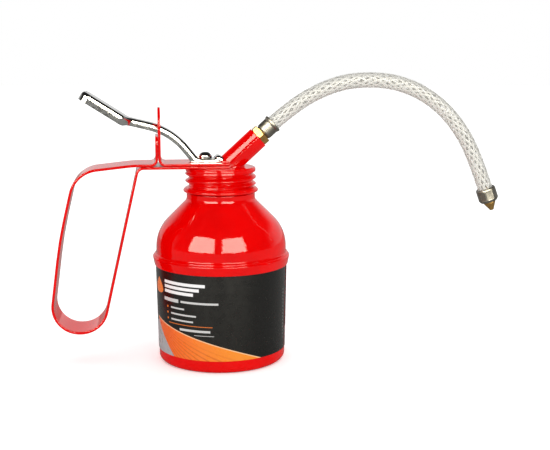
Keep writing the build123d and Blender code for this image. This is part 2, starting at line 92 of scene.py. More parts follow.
PITCH = 3.5  # rolled thread of neck and cap
CREST_Z = 84.7  # height of a crest at angle 0
NECK_FOOT_Z = 84.1
NECK_R = 16.9
NECK_ROOT_R = 14.6
NECK_CREST_R = 16.3
CAP_ROOT_R = 15.6
CAP_CREST_R = 17.5

STRAP_W = 21.0
STRAP_T = 1.3
STRAP_EDGE = 0.4  # rounding of the strap's long edges
STRAP_END_X = 4.0
BRACKET_X = -29.85
LOWER_STRAP_Z = CAP_HIGH.z + STRAP_T / 2
UPPER_STRAP_Z = CAP_HIGH.z + STRAP_T * 1.5 + 0.05
SILL_Z = 113.6

LEVER_T = 1.1
TAB_TOP_Z = 100.55

SPOUT_FOOT = Vector((3.1, 0, CAP_HIGH.z))
SPOUT_ANGLE = math.radians(42.5)
SPOUT_LENGTH = 21.1
SPOUT_R = 5.5
HEX_ACROSS = 9.4
HEX_T = 3.0

HOSE_R = 3.9
HOSE_BORE_R = 2.2
YARNS = 10  # yarns in each direction of the hose's braid
YARN_R = 3.42  # middle radius of the braid
# Hose centreline in the X-Z plane, as in the CAD source
HOSE_ROUTE = [
    (22.2, 114.1),
    (36.3, 127.0),
    (56.5, 136.8),
    (73.0, 139.0),
    (90.5, 137.0),
    (107.5, 128.5),
    (120.8, 114.5),
    (129.8, 97.2),
    (136.3, 79.0),
]


# ---- camera
def make_camera():
    """Camera in front of the can, a little to the handle's side and above it."""
    azimuth = math.radians(-6.5)
    pitch = math.radians(10.07)
    distance = 0.5357
    focal_length = 70.04
    shift_x, shift_z = -0.0018, -0.0045  # from the middle of the can to the middle of the picture
    data = bpy.data.cameras.new("camera")
    camera = added("camera", data)
    bpy.context.scene.camera = camera
    low, high = cad_box
    aim = Vector(((low.x + high.x) / 2 + shift_x, 0, (low.z + high.z) / 2 + shift_z))
    back = Vector((
        math.sin(azimuth) * math.cos(pitch),
        -math.cos(azimuth) * math.cos(pitch),
        math.sin(pitch),
    ))
    camera.location = aim + back * distance
    camera.rotation_mode = "QUATERNION"
    camera.rotation_quaternion = (-back).to_track_quat("-Z", "Y")
    data.sensor_width = 36
    data.lens = focal_length
    data.clip_start, data.clip_end = 0.01, 50


make_camera()


# ---- shader helpers
class Field:
    """A number that varies over a surface: a shader node's output, which can be added or multiplied."""

    def __init__(self, tree, socket):
        self.tree = tree
        self.socket = socket

    def op(self, operation, *others):
        """The result of a Math node on this field and others, which are fields or numbers."""
        node = self.tree.nodes.new("ShaderNodeMath")
        node.operation = operation
        for slot, value in zip(node.inputs, (self, *others)):
            if isinstance(value, Field):
                self.tree.links.new(value.socket, slot)
            else:
                slot.default_value = value
        return Field(self.tree, node.outputs[0])

    def __add__(self, other):
        return self.op("ADD", other)

    def __sub__(self, other):
        return self.op("SUBTRACT", other)

    def __mul__(self, other):
        return self.op("MULTIPLY", other)

    def step(self, low, high):
        """0 below low, 1 above high and smooth between them."""
        node = self.tree.nodes.new("ShaderNodeMapRange")
        node.interpolation_type = "SMOOTHSTEP"
        self.tree.links.new(self.socket, node.inputs["Value"])
        node.inputs["From Min"].default_value = low
        node.inputs["From Max"].default_value = high
        return Field(self.tree, node.outputs["Result"])

    def between(self, low, high):
        """The field stretched from 0..1 to low..high."""
        return self * (high - low) + low


def axes(tree, vector):
    """X, Y and Z of a vector socket, as fields."""
    node = tree.nodes.new("ShaderNodeSeparateXYZ")
    tree.links.new(vector, node.inputs[0])
    return [Field(tree, out) for out in node.outputs]


class Finish:
    """A Principled material whose patterns are built from object coordinates."""

    def __init__(self, name, color, metallic=0.0, roughness=0.3, ior=1.5):
        self.material = bpy.data.materials.new(name)
        self.material.use_nodes = True
        self.tree = self.material.node_tree
        self.shader = next(n for n in self.tree.nodes if n.type == "BSDF_PRINCIPLED")
        self.shader.inputs["Base Color"].default_value = (*color, 1)
        self.shader.inputs["Metallic"].default_value = metallic
        self.shader.inputs["Roughness"].default_value = roughness
        self.shader.inputs["IOR"].default_value = ior
        self.place = self.tree.nodes.new("ShaderNodeTexCoord").outputs["Object"]
        self.material.diffuse_color = (*color, 1)

    def link(self, value, name):
        """Lets a field or a colour socket drive one of the shader's inputs."""
        socket = value.socket if isinstance(value, Field) else value
        self.tree.links.new(socket, self.shader.inputs[name])

    def noise(self, size, detail=2.0, stretch=(1, 1, 1)):
        """Noise from 0 to 1 in blotches about size metres across, longer where stretch is below 1."""
        mapping = self.tree.nodes.new("ShaderNodeMapping")
        mapping.inputs["Scale"].default_value = stretch
        self.tree.links.new(self.place, mapping.inputs["Vector"])
        node = self.tree.nodes.new("ShaderNodeTexNoise")
        node.inputs["Scale"].default_value = 1 / size
        node.inputs["Detail"].default_value = detail
        self.tree.links.new(mapping.outputs["Vector"], node.inputs["Vector"])
        return Field(self.tree, node.outputs["Fac"])

    def edge(self):
        """The mesh's own mark for tight outer edges, from 0 to 1."""
        node = self.tree.nodes.new("ShaderNodeAttribute")
        node.attribute_name = "edge"
        return Field(self.tree, node.outputs["Fac"])

    def facing(self, blend):
        """0 where the surface faces the eye, 1 at its outline."""
        node = self.tree.nodes.new("ShaderNodeLayerWeight")
        node.inputs["Blend"].default_value = blend
        return Field(self.tree, node.outputs["Facing"])

    def mix(self, factor, first, second):
        """Colour that goes from first to second as factor goes from 0 to 1."""
        node = self.tree.nodes.new("ShaderNodeMix")
        node.data_type = "RGBA"
        node.clamp_factor = True
        self.tree.links.new(factor.socket, node.inputs[0])
        for slot, color in ((node.inputs[6], first), (node.inputs[7], second)):
            if isinstance(color, tuple):
                slot.default_value = (*color, 1)
            else:
                self.tree.links.new(color, slot)
        return node.outputs[2]

    def bump(self, height, distance):
        """Relief of the given depth in metres."""
        node = self.tree.nodes.new("ShaderNodeBump")
        node.inputs["Distance"].default_value = distance
        self.tree.links.new(height.socket, node.inputs["Height"])
        self.tree.links.new(node.outputs["Normal"], self.shader.inputs["Normal"])


# ---- materials
def red_enamel():
    """Glossy baked enamel: faint orange peel, uneven film and thinner paint on tight edges."""
    finish = Finish("red_enamel", (0.74, 0.0, 0.0), roughness=0.1, ior=1.45)
    film = finish.noise(0.011, 3)
    worn = finish.edge() * finish.noise(0.0016, 4).step(0.35, 0.7)
    paint = finish.mix(film.step(0.3, 0.7), (0.78, 0.0, 0.0), (0.88, 0.0, 0.0))
    finish.link(finish.mix(worn * 0.5, paint, (0.42, 0.0, 0.004)), "Base Color")
    finish.link(finish.noise(0.004, 4).between(0.04, 0.10) + worn * 0.1, "Roughness")
    finish.bump(finish.noise(0.0011, 1.5) + finish.noise(0.009, 1) * 3, 0.00002)
    return finish.material


def bright_chrome():
    """Chrome plate over pressed steel: reflections waver over the press marks."""
    finish = Finish("bright_chrome", (0.80, 0.80, 0.79), metallic=1.0, roughness=0.08)
    stain = finish.noise(0.0025, 5).step(0.45, 0.75)
    plate = finish.mix(stain, (0.66, 0.66, 0.64), (0.38, 0.37, 0.34))
    sheared = finish.edge() * finish.noise(0.0011, 3).step(0.2, 0.55)
    finish.link(finish.mix(sheared, plate, (0.07, 0.07, 0.065)), "Base Color")
    finish.link(finish.noise(0.0012, 5).between(0.03, 0.16), "Roughness")
    finish.bump(finish.noise(0.0035, 2) + finish.noise(0.0009, 2) * 0.2, 0.00008)
    return finish.material


def plated_steel(name="plated_steel", color=(0.26, 0.25, 0.22), grain=0.0008):
    """Zinc or nickel plate with fine drawing lines and dull patches."""
    finish = Finish(name, color, metallic=1.0, roughness=0.28)
    dull = tuple(0.72 * c for c in color)
    finish.link(finish.mix(finish.noise(0.003, 5).step(0.4, 0.7), color, dull), "Base Color")
    lines = finish.noise(grain, 4, stretch=(1, 1, 0.15))
    finish.link(lines.between(0.28, 0.52), "Roughness")
    finish.bump(lines, 0.00003)
    return finish.material


def brass():
    """Turned brass, a little darkened."""
    finish = Finish("brass", (0.86, 0.60, 0.24), metallic=1.0, roughness=0.2)
    tarnish = finish.noise(0.002, 5).step(0.45, 0.75)
    base = finish.mix(tarnish, (0.56, 0.34, 0.11), (0.34, 0.19, 0.06))
    finish.link(finish.mix(finish.edge() * 0.6, base, (0.72, 0.50, 0.22)), "Base Color")
    lines = finish.noise(0.0005, 4)
    finish.link(lines.between(0.24, 0.46), "Roughness")
    finish.bump(lines, 0.00002)
    return finish.material


def seal_material(name, color, grain):
    """Dull rubber or leather with a grain."""
    finish = Finish(name, color, roughness=0.65)
    pale = tuple(min(1, 1.6 * c + 0.01) for c in color)
    finish.link(finish.mix(finish.noise(grain * 3, 4), color, pale), "Base Color")
    finish.link(finish.noise(grain, 3).between(0.5, 0.85), "Roughness")
    finish.bump(finish.noise(grain, 3), grain / 8)
    return finish.material


def clear_skin(name, alpha_face, alpha_rim, color, roughness):
    """Clear vinyl: see-through where it faces the eye, milky towards its outline."""
    finish = Finish(name, color, roughness=roughness, ior=1.5)
    rim = finish.facing(0.35)
    haze = finish.noise(0.006, 4)
    finish.link(rim.between(alpha_face, alpha_rim) + haze * 0.08, "Alpha")
    finish.link(finish.noise(0.002, 3).between(roughness * 0.7, roughness * 1.5), "Roughness")
    finish.bump(finish.noise(0.0025, 2), 0.00012)
    return finish.material


def braid_yarn():
    """Pale reinforcing yarn: fine filaments with shadows between them, and shade painted dark towards each
    yarn's outline, where its surface turns from the eye.
    """
    finish = Finish("braid_yarn", (0.80, 0.79, 0.73), roughness=0.4)
    finish.shader.inputs["Sheen Weight"].default_value = 0.3
    strands = finish.noise(0.0005, 3)
    # painted shade: a mask that grows towards the yarn's outline, where its surface turns from the eye
    side = finish.facing(0.5).step(0.15, 0.7)
    thread = finish.mix(strands.step(0.3, 0.7), (0.74, 0.72, 0.64), (0.97, 0.96, 0.90))
    # the dark colour here is painted shade along the yarn's sides, not a colour of the yarn
    finish.link(finish.mix(side, thread, (0.26, 0.25, 0.21)), "Base Color")
    finish.bump(strands, 0.0001)
    return finish.material


# ---- label print
LABEL_R = 32.1  # middle radius of the printed film
LABEL_TURN = math.radians(196)  # puts the jump of the angle in the gap between the film's ends
LABEL_FRONT = math.radians(106)  # angle of the front after that turn
PRINT_SOFT = 0.07  # how soft the print's edges are, in mm


def together(masks):
    """The largest of several masks."""
    total = masks[0]
    for mask in masks[1:]:
        total = total.op("MAXIMUM", mask)
    return total


def below(edge, value):
    """1 where value is below edge, 0 above it."""
    return (edge - value).step(-PRINT_SOFT, PRINT_SOFT)


class LabelPlan:
    """The label laid flat: across and up are fields in millimetres, the same in front and behind."""

    def __init__(self, finish):
        tree = finish.tree
        turn = tree.nodes.new("ShaderNodeMapping")
        turn.inputs["Rotation"].default_value = (0, 0, LABEL_TURN)
        tree.links.new(finish.place, turn.inputs["Vector"])
        x, y, z = axes(tree, turn.outputs["Vector"])
        angle = y.op("ARCTAN2", x) - LABEL_FRONT
        half_way = math.pi * LABEL_R
        left = 60
        self.across = (angle * LABEL_R + (half_way + left)).op("MODULO", half_way) - left
        self.up = z * 1000

    def bar(self, middle_u, middle_v, length, height):
        """1 inside an upright rectangle of the label, 0 outside."""
        beyond_u = (self.across - middle_u).op("ABSOLUTE") - length / 2
        beyond_v = (self.up - middle_v).op("ABSOLUTE") - height / 2
        return (beyond_u.op("MAXIMUM", beyond_v) * -1).step(-PRINT_SOFT, PRINT_SOFT)

    def bars(self, *places):
        return together([self.bar(*place) for place in places])


def printed_sweep(plan, wedge_side):
    """The orange sweep and its lighter upper rim."""
    across, up = plan.across, plan.up
    top = (across * -0.32 + 12.9) - across * across * 0.0016
    under_top = below(top, up)
    sweep = under_top * (up - wedge_side).step(-PRINT_SOFT, PRINT_SOFT)
    rim = under_top.op("SUBTRACT", below(top - 0.5, up)) * sweep
    return sweep, rim


def printed_rays(plan):
    """Fine rays that fan out over the sweep."""
    fan = (plan.up * -1 + 25.5).op("ARCTAN2", plan.across + 46)
    return (fan * 110).op("SINE").step(0.2, 1.0) * fan.step(0.3, 0.45)


def printed_wedge(plan, wedge_side):
    """The grey wedge to the left of the sweep."""
    outer_top = plan.across * 0.35 + 37.3
    wedge = below(wedge_side, plan.up) * below(outer_top, plan.up)
    return wedge * (plan.across * -1).step(25, 30)


def printed_drop(plan):
    """A plain drop."""
    drop_u = plan.across + 40.6
    drop_v = plan.up - 40.2
    narrow = (drop_v * -0.16 + 1.0).op("MAXIMUM", 0.08)
    radius = ((drop_u * drop_u).op("DIVIDE", narrow * narrow) + drop_v * drop_v).op("SQRT")
    return (radius * -1 + 3.9).step(-PRINT_SOFT, PRINT_SOFT)


def print_film():
    """Dark printed film. Its artwork is a drop, stripes, bars and an orange sweep, without lettering."""
    finish = Finish("print_film", (0.01, 0.0095, 0.008), roughness=0.2, ior=1.5)
    plan = LabelPlan(finish)
    across, up = plan.across, plan.up
    wedge_side = across * -1.03 - 22.6
    sweep, rim = printed_sweep(plan, wedge_side)
    stripes = plan.bars((-22.1, 43.3, 24.4, 1.5), (-23.6, 41.0, 21.4, 1.5), (-25.1, 38.7, 18.4, 1.5))
    heading = plan.bars((-29.7, 34.7, 10.6, 1.7), (-13.3, 34.7, 19.4, 1.0))
    lines = plan.bars(
        (-25.3, 31.1, 8.6, 0.8),
        (-22.1, 28.2, 15.0, 0.8),
        (-22.9, 25.3, 13.4, 0.8),
        (-15.8, 21.0, 16.4, 1.1),
        (-10.8, 18.9, 10.0, 0.25),
    )
    ticks = plan.bar(36.6, 24.5, 0.7, 26.0) * (up * 3.6).op("SINE").step(-0.3, 0.1)
    bullets = plan.bars(*[(-32.2, height, 0.9, 0.9) for height in (31.1, 28.2, 25.3)])
    rule = plan.bar(-19.0, 23.3, 25.0, 0.35)

    ground = finish.mix(finish.noise(0.002, 4), (0.003, 0.0027, 0.002), (0.007, 0.0065, 0.005))
    orange = finish.mix((across * 0.02 + 0.8).step(0.0, 1.0), (0.95, 0.13, 0.01), (1.0, 0.30, 0.01))
    orange = finish.mix(printed_rays(plan) * 0.7, orange, (0.62, 0.10, 0.0))
    color = finish.mix(printed_wedge(plan, wedge_side), ground, (0.42, 0.43, 0.44))
    for mask, ink in (
        (sweep, orange),
        (rim * 0.7, (1.0, 0.75, 0.45)),
        (together([printed_drop(plan), bullets, rule * 0.8]), (0.95, 0.22, 0.02)),
        (ticks * 0.3, (0.6, 0.6, 0.58)),
        (together([heading, lines]) * 0.8, (0.80, 0.80, 0.78)),
        (stripes, (0.95, 0.95, 0.94)),
    ):
        color = finish.mix(mask, color, ink)
    finish.link(color, "Base Color")
    finish.link(finish.noise(0.004, 4).between(0.22, 0.34), "Roughness")
    finish.bump(finish.noise(0.006, 2), 0.00006)
    return finish.material


MATERIALS = {
    "red_enamel": red_enamel(),
    "bright_chrome": bright_chrome(),
    "plated_steel": plated_steel(),
    "spring_steel": plated_steel("spring_steel", (0.42, 0.42, 0.43)),
    "brass": brass(),
    "seal_rubber": seal_material("seal_rubber", (0.03, 0.03, 0.03), 0.0006),
    "seal_leather": seal_material("seal_leather", (0.30, 0.17, 0.08), 0.0009),
    "clear_hose": clear_skin("clear_hose", 0.10, 0.62, (0.96, 0.95, 0.91), 0.1),
    "print_film": print_film(),
}
BRAID_YARN = braid_yarn()
BORE_SKIN = clear_skin("bore_skin", 0.12, 0.55, (0.90, 0.89, 0.84), 0.3)


# ---- mesh helpers
def rounded(corners, radii, closed=False, step=7.0):
    """A 2-D line through corners, each replaced by an arc of its radius; step is degrees per segment."""
    points = [Vector(corner) for corner in corners]
    made = []
    for i, (corner, radius) in enumerate(zip(points, radii)):
        if radius == 0 or (not closed and i in (0, len(points) - 1)):
            made.append(corner)
            continue
        before = (points[i - 1] - corner).normalized()
        after = (points[(i + 1) % len(points)] - corner).normalized()
        half = before.angle(after) / 2
        reach = radius / math.tan(half)
        centre = corner + (before + after).normalized() * radius / math.sin(half)
        first = corner + before * reach - centre
        last = corner + after * reach - centre
        turn = -first.angle_signed(last)
        steps = max(2, math.ceil(math.degrees(abs(turn)) / step))
        made += [centre + Matrix.Rotation(turn * k / steps, 2) @ first for k in range(steps + 1)]
    return made


def divided(points, longest):
    """The same line with no segment over longest."""
    made = [points[0]]
    for a, b in zip(points, points[1:]):
        count = max(1, math.ceil((b - a).length / longest))
        made += [a.lerp(b, k / count) for k in range(1, count + 1)]
    return made


def lengths(points):
    """Length along a line up to each of its points."""
    runs = [0.0]
    for a, b in zip(points, points[1:]):
        runs.append(runs[-1] + (b - a).length)
    return runs


def ahead_at(points, i):
    """Direction of a line at its point i."""
    return (points[min(i + 1, len(points) - 1)] - points[max(i - 1, 0)]).normalized()


def mark_edges(bm):
    """Stores how tightly the surface turns outwards at each vertex: 0 on flats, 1 on sharp outer edges."""
    layer = bm.verts.layers.float.new("edge")
    gentle, tight = 600, 2600  # curvature, in 1/m
    for edge in bm.edges:
        if len(edge.link_faces) != 2:
            continue
        area = sum(face.calc_area() for face in edge.link_faces)
        width = area / (2 * max(edge.calc_length(), 1e-7))
        share = (edge.calc_face_angle_signed(0) / max(width, 1e-6) - gentle) / (tight - gentle)
        for vertex in edge.verts:
            vertex[layer] = min(1, max(vertex[layer], share))


def finished(name, bm, slot, body, replaces=(), place=Matrix(), material=None):
    """Turns a bmesh in millimetres into a shown piece that rides on a body."""
    bmesh.ops.transform(bm, matrix=Matrix.Scale(MM, 4) @ place, verts=bm.verts)
    bmesh.ops.remove_doubles(bm, verts=bm.verts, dist=1e-7)
    bmesh.ops.dissolve_degenerate(bm, dist=1e-8, edges=bm.edges)
    bmesh.ops.recalc_face_normals(bm, faces=bm.faces)
    mark_edges(bm)
    mesh = bpy.data.meshes.new(name)
    bm.to_mesh(mesh)
    bm.free()
    mesh.shade_smooth()
    mesh.set_sharp_from_angle(angle=math.radians(40))
    piece = added(name, mesh)
    weighted = piece.modifiers.new("even_shading", "WEIGHTED_NORMAL")
    weighted.keep_sharp = True
    mesh.materials.append(material or MATERIALS[slot])
    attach(piece, body)
    if replaces:
        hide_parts(*replaces)
    return piece


def skin(bm, rings, closed_ends=False):
    """Joins rings of equal length, given as lists of points, with four-sided faces."""
    made = [[bm.verts.new(point) for point in ring] for ring in rings]
    pairs = list(zip(made, made[1:]))
    if closed_ends:
        pairs.append((made[-1], made[0]))
    for low, high in pairs:
        for i in range(len(low)):
            j = (i + 1) % len(low)
            bm.faces.new((low[i], low[j], high[j], high[i]))
    return made


def capped_skin(bm, rings):
    """A skin with a face on its first and its last ring."""
    made = skin(bm, rings)
    bm.faces.new(made[0])
    bm.faces.new(reversed(made[-1]))


def lathe(outline, segments=192, start=0.0, sweep=360.0):
    """A turned solid from a closed (radius, height) outline, or a function that gives it at an angle."""
    bm = bmesh.new()
    full = sweep == 360
    rings = []
    for i in range(segments if full else segments + 1):
        angle = math.radians(start + sweep * i / segments)
        points = outline(angle) if callable(outline) else outline
        rings.append([(r * math.cos(angle), r * math.sin(angle), z) for r, z in points])
    if full:
        skin(bm, rings, closed_ends=True)
    else:
        capped_skin(bm, rings)
    return bm


def prism(outline, low, high, place=Matrix()):
    """A straight cutter: a closed 2-D outline from height low to height high."""
    bm = bmesh.new()
    made = skin(bm, [[(x, y, z) for x, y in outline] for z in (low, high)])
    bm.faces.new(reversed(made[0]))
    bm.faces.new(made[1])
    bmesh.ops.recalc_face_normals(bm, faces=bm.faces)
    bmesh.ops.transform(bm, matrix=place, verts=bm.verts)
    return bm


def bored(bm, cutters):
    """bm with the cutters' space taken out; all in millimetres."""
    helpers = []
    for made in (bm, *cutters):
        bmesh.ops.recalc_face_normals(made, faces=made.faces)
        mesh = bpy.data.meshes.new("work")
        made.to_mesh(mesh)
        made.free()
        helpers.append(added("work", mesh))
    body = helpers[0]
    for cutter in helpers[1:]:
        cut = body.modifiers.new("cut", "BOOLEAN")
        cut.operation = "DIFFERENCE"
        cut.solver = "EXACT"
        cut.object = cutter
    bpy.context.view_layer.update()
    result = bmesh.new()
    result.from_object(body, bpy.context.evaluated_depsgraph_get())
    for helper in helpers:
        mesh = helper.data
        bpy.data.objects.remove(helper)
        bpy.data.meshes.remove(mesh)
    return result


def full_turn(count):
    """Angles of count even steps round a circle."""
    return [2 * math.pi * i / count for i in range(count)]


def circle(radius, x=0.0, y=0.0, count=48):
    """Points of a circle round (x, y)."""
    return [(x + radius * math.cos(t), y + radius * math.sin(t)) for t in full_turn(count)]


def thread_wave(angle, z):
    """Height of the rolled thread at a place: 1 on a crest, 0 in a valley."""
    phase = (z - CREST_Z) / PITCH - angle / (2 * math.pi)
    return (0.5 + 0.5 * math.cos(2 * math.pi * phase)) ** 0.8


def smooth(low, high, value):
    """0 below low, 1 above high and smooth between them."""
    t = min(1, max(0, (value - low) / (high - low)))
    return t * t * (3 - 2 * t)


def polygon_radius(angle, across, sides):
    """Distance from the centre to the side of a regular polygon that measures across over its flats."""
    part = 2 * math.pi / sides
    return across / 2 / math.cos((angle + part / 2) % part - part / 2)


def on_axis(foot, direction):
    """Place of a turned piece whose axis starts at foot and points along direction, in the X-Z plane."""
    up = Vector(direction).normalized()
    side = Vector((0, 1, 0))
    ahead = side.cross(up)
    place = Matrix((ahead, side, up)).transposed().to_4x4()
    place.translation = foot
    return place


SPOUT_DIRECTION = Vector((math.cos(SPOUT_ANGLE), 0, math.sin(SPOUT_ANGLE)))
SPOUT_PLACE = on_axis(SPOUT_FOOT, SPOUT_DIRECTION)
MOUTH_PLACE = on_axis(SPOUT_FOOT + SPOUT_DIRECTION * SPOUT_LENGTH, SPOUT_DIRECTION)
HOSE_POINTS = [Vector((x, 0, z)) for x, z in HOSE_ROUTE]
HOSE_END_PLACE = on_axis(HOSE_POINTS[-1], HOSE_POINTS[-1] - HOSE_POINTS[-2])


# ---- hose
def route_curve(name):
    """The hose's centreline as a smooth curve through its route."""
    data = bpy.data.curves.new(name, "CURVE")
    data.dimensions = "3D"
    spline = data.splines.new("NURBS")
    spline.points.add(len(HOSE_POINTS) - 1)
    for point, place in zip(spline.points, HOSE_POINTS):
        point.co = (*(place * MM), 1)
    spline.order_u = 3
    spline.use_endpoint_u = True
    spline.resolution_u = 24
    return data


def hose_line():
    """Points 0.5 mm apart along the smooth centreline, in millimetres."""
    helper = added("line", route_curve("line"))
    bpy.context.view_layer.update()
    mesh = bpy.data.meshes.new_from_object(helper)
    points = [vertex.co / MM for vertex in mesh.vertices]
    bpy.data.meshes.remove(mesh)
    curve = helper.data
    bpy.data.objects.remove(helper)
    bpy.data.curves.remove(curve)
    return divided(points, 0.5)


def hose_skin():
    """The hose itself: a clear vinyl tube along the route."""
    data = route_curve("hose_skin")
    data.bevel_depth = HOSE_R * MM
    data.bevel_resolution = 10
    piece = added("hose_skin", data)
    data.materials.append(MATERIALS["clear_hose"])
    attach(piece, "pump_head")
    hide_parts("hose")
    return piece


def round_hose(line, radius_at, angle_at, half_width, half_height, sides):
    """A flat strand wound round the hose line; radius and angle are functions of the length so far."""
    rings = []
    side = Vector((0, 1, 0))
    for i, (point, run) in enumerate(zip(line, lengths(line))):
        ahead = ahead_at(line, i)
        normal = side.cross(ahead)
        angle = angle_at(run)
        out = normal * math.cos(angle) + side * math.sin(angle)
        around = ahead.cross(out)
        centre = point + out * radius_at(run)
        rings.append([
            centre + around * half_width * math.cos(t) + out * half_height * math.sin(t)
            for t in full_turn(sides)
        ])
    return rings


def yarn(line, i, hand):
    """Rings of one yarn; hand is 1 for the right-hand set and -1 for the left-hand one."""
    lead = 54.0
    weave = 0.13

    def radius_at(run):
        return YARN_R + hand * weave * math.cos(YARNS * 2 * math.pi * run / lead)

    def angle_at(run):
        stray = 0.07 * math.sin(run / 2.9 + 1.7 * i) + 0.05 * math.sin(run / 6.3 + 2.3 * i * hand)
        return 2 * math.pi * (i / YARNS + hand * run / lead) + stray

    return round_hose(line, radius_at, angle_at, 0.56, 0.15, 6)


def hose_braid(line):
    """Two crossing sets of yarns inside the hose wall, each passing over and under the other."""
    for hand, name in ((1, "hose_braid_right"), (-1, "hose_braid_left")):
        bm = bmesh.new()
        for i in range(YARNS):
            capped_skin(bm, yarn(line, i, hand))
        yield finished(name, bm, "clear_hose", "pump_head", material=BRAID_YARN)


def hose_bore(line):
    """Inner wall of the hose."""
    bm = bmesh.new()
    rings = round_hose(line, lambda run: 0.0, lambda run: 0.0, HOSE_BORE_R, HOSE_BORE_R, 24)
    capped_skin(bm, rings)
    return finished("hose_bore", bm, "clear_hose", "pump_head", material=BORE_SKIN)


def end_ferrule():
    """Steel sleeve crimped on the hose's end with flat dents all round."""
    facets = 8

    def outline(angle):
        flat = min(5.0, polygon_radius(angle, 2 * 4.72, facets))
        rise = min(5.0, flat + 0.15)
        return [
            (3.2, 2.1),
            (3.3, 2.2),
            (3.9, 2.2),
            (4.2, 2.1),
            (4.7, 1.4),
            (rise, 0.95),
            (rise, 0.7),
            (flat, 0.3),
            (flat, -3.3),
            (rise, -3.8),
            (rise - 0.05, -4.5),
            (4.6, -4.9),
            (4.5, -5.0),
            (HOSE_R + 0.05, -5.0),
            (HOSE_R + 0.02, 0.05),
            (3.2, 0.4),
        ]

    sleeve = lathe(outline)
    return finished("crimp_sleeve", sleeve, "plated_steel", "pump_head", ["end_ferrule"], HOSE_END_PLACE)


def nozzle_tip():
    """Brass nozzle: collar and cone with a fine bore."""
    outline = rounded([
        (0.9, -5.5),
        (1.7, -5.5),
        (HOSE_BORE_R - 0.03, -4.4),
        (1.8, -2.6),
        (HOSE_BORE_R - 0.03, -2.2),
        (1.9, 0.2),
        (3.1, 0.45),
        (3.1, 2.9),
        (1.25, 6.3),
        (1.0, 6.9),
        (0.5, 6.9),
        (0.5, 5.0),
        (0.9, 4.5),
    ], [0, 0.2, 0.2, 0.2, 0.1, 0.1, 0.15, 0.4, 0.3, 0.2, 0.1, 0.1, 0.1], closed=True, step=20)
    nozzle = lathe(outline, 96)
    return finished("brass_nozzle", nozzle, "brass", "pump_head", ["nozzle_tip"], HOSE_END_PLACE)


skin_piece = hose_skin()
line = hose_line()
on_hose = [*hose_braid(line), hose_bore(line), end_ferrule(), nozzle_tip()]


# ---- reservoir
def cup():
    """Deep-drawn cup: rounded foot, stiffening step in the bottom, flared bead at the rim."""
    base_r = CUP_TOP.x - 1.7
    rim_r = CUP_TOP.x
    rim_z = CUP_TOP.z
    outline = rounded([
        (0, 0),
        (11.5, 0),
        (12.1, 0.6),
        (22.4, 0.6),
        (23.0, 0),
        (base_r, 0),
        (base_r + 0.96, rim_z - 3.0),
        (rim_r, rim_z - 1.6),
        (rim_r, rim_z),
        (rim_r - SHEET, rim_z),
        (base_r + 0.3, rim_z - 2.4),
        (base_r - SHEET, SHEET),
        (23.3, SHEET),
        (22.7, SHEET + 0.6),
        (11.8, SHEET + 0.6),
        (11.2, SHEET),
        (0, SHEET),
    ], [0, 0.6, 0.6, 0.6, 0.6, 3.0, 1.2, 0.4, 0.3, 0.3, 1.0, 2.3, 0.5, 0.5, 0.5, 0.5, 0], closed=True)
    return finished("cup", lathe(outline), "red_enamel", "reservoir", ["reservoir_cup"])


def dome():
    """Dome with crimped skirt, seam ring, round shoulder, cone, and neck with its thread."""
    crest_r = DOME_HIGH.x - 0.04
    low = DOME_LOW.z
    seam_z = low + 4.0
    shoulder_r = crest_r - 1.7
    cone_sum = 97.58  # radius plus height along the 45-degree cone
    neck_top = DOME_HIGH.z
    neck_bore_r = 14.0
    outer = rounded([
        (crest_r - 0.75, low),
        (crest_r + 0.06, seam_z),
        (shoulder_r, seam_z + 1.9),
        (shoulder_r, cone_sum - shoulder_r),
        (NECK_R, cone_sum - NECK_R),
        (NECK_R, NECK_FOOT_Z),
        (NECK_ROOT_R, NECK_FOOT_Z),
    ], [0, 0.5, 0.7, 20.0, 2.6, 0.5, 0], step=4)
    inner = rounded([
        (neck_bore_r, neck_top),
        (neck_bore_r, NECK_FOOT_Z - SHEET),
        (NECK_R - SHEET, NECK_FOOT_Z - SHEET),
        (NECK_R - SHEET, cone_sum - NECK_R - 0.3),
        (shoulder_r - SHEET, cone_sum - shoulder_r - 0.3),
        (shoulder_r - SHEET, seam_z + 2.3),
        (crest_r - 0.65, seam_z + 1.1),
        (crest_r - 0.65, seam_z - 0.7),
        (crest_r - 1.25, low + 0.1),
        (crest_r - 0.95, low - 0.25),
    ], [0.2, 0.2, 0.2, 2.0, 19.3, 1.5, 0.5, 0.5, 0.1, 0.1], step=8)
    steps = 44
    start, end = 86.45, 93.1  # the thread fades in and out between these heights

    def outline(angle):
        wall = []
        for i in range(steps + 1):
            z = NECK_FOOT_Z + (neck_top - NECK_FOOT_Z) * i / steps
            fade = smooth(start - 1.2, start + 0.6, z) * smooth(neck_top - 0.4, end, z)
            height = (NECK_CREST_R - NECK_ROOT_R) * fade * thread_wave(angle, z)
            wall.append((NECK_ROOT_R + height, z))
        return [tuple(p) for p in outer[:-1]] + wall + [tuple(p) for p in inner]

    return finished("dome", lathe(outline), "red_enamel", "reservoir", ["reservoir_dome"])


def label_band():
    """Printed film round the cup, its two ends a little apart."""
    low_r = 31.68
    top_r = 32.47
    outline = [
        Vector((low_r, LABEL_LOW.z)),
        Vector((low_r + 0.2, LABEL_LOW.z)),
        Vector((top_r + 0.2, LABEL_HIGH.z)),
        Vector((top_r, LABEL_HIGH.z)),
    ]
    return finished("label_band", lathe(outline, 180, -14, 356), "print_film", "reservoir", ["label"])


